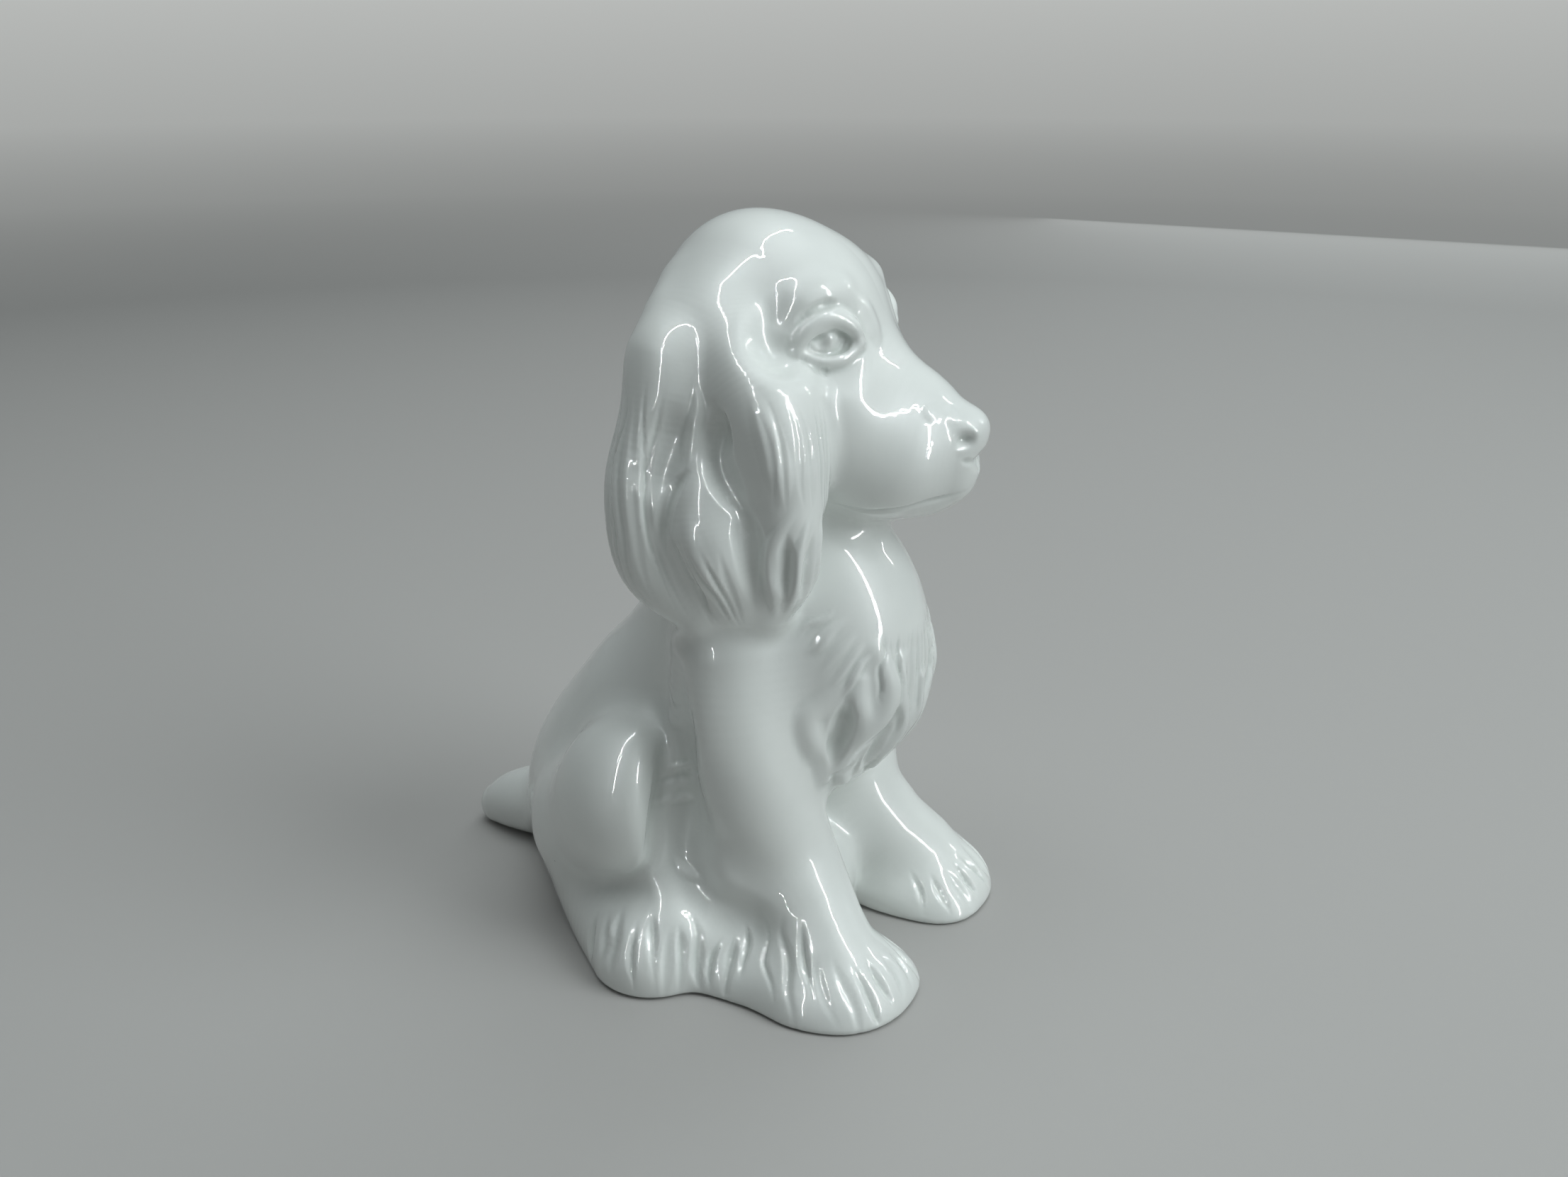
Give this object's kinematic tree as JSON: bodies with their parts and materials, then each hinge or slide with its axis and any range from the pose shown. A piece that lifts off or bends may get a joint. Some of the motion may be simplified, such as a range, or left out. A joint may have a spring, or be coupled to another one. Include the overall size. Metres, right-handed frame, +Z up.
{
  "type": "porcelain dog figurine",
  "caption": "Sitting spaniel figurine in glossy white glazed porcelain, with long wavy ears, upright chest and spread paws, for a shelf or mantelpiece.",
  "frame": {"origin": "on the surface it stands on, below the middle of the figurine's bounding box", "axes": "+Z up; the dog's chest faces -Y, its tail points to +Y and its left side is +X"},
  "size_m": [0.0909, 0.124, 0.1505],
  "materials": {
    "glazed_porcelain": "gloss"
  },
  "bodies": {
    "root": {"body_casting": "glazed_porcelain", "head_casting": "glazed_porcelain", "left_ear": "glazed_porcelain", "right_ear": "glazed_porcelain", "left_foreleg": "glazed_porcelain", "right_foreleg": "glazed_porcelain", "left_hind_leg": "glazed_porcelain", "right_hind_leg": "glazed_porcelain", "tail": "glazed_porcelain"}
  },
  "joints": []
}
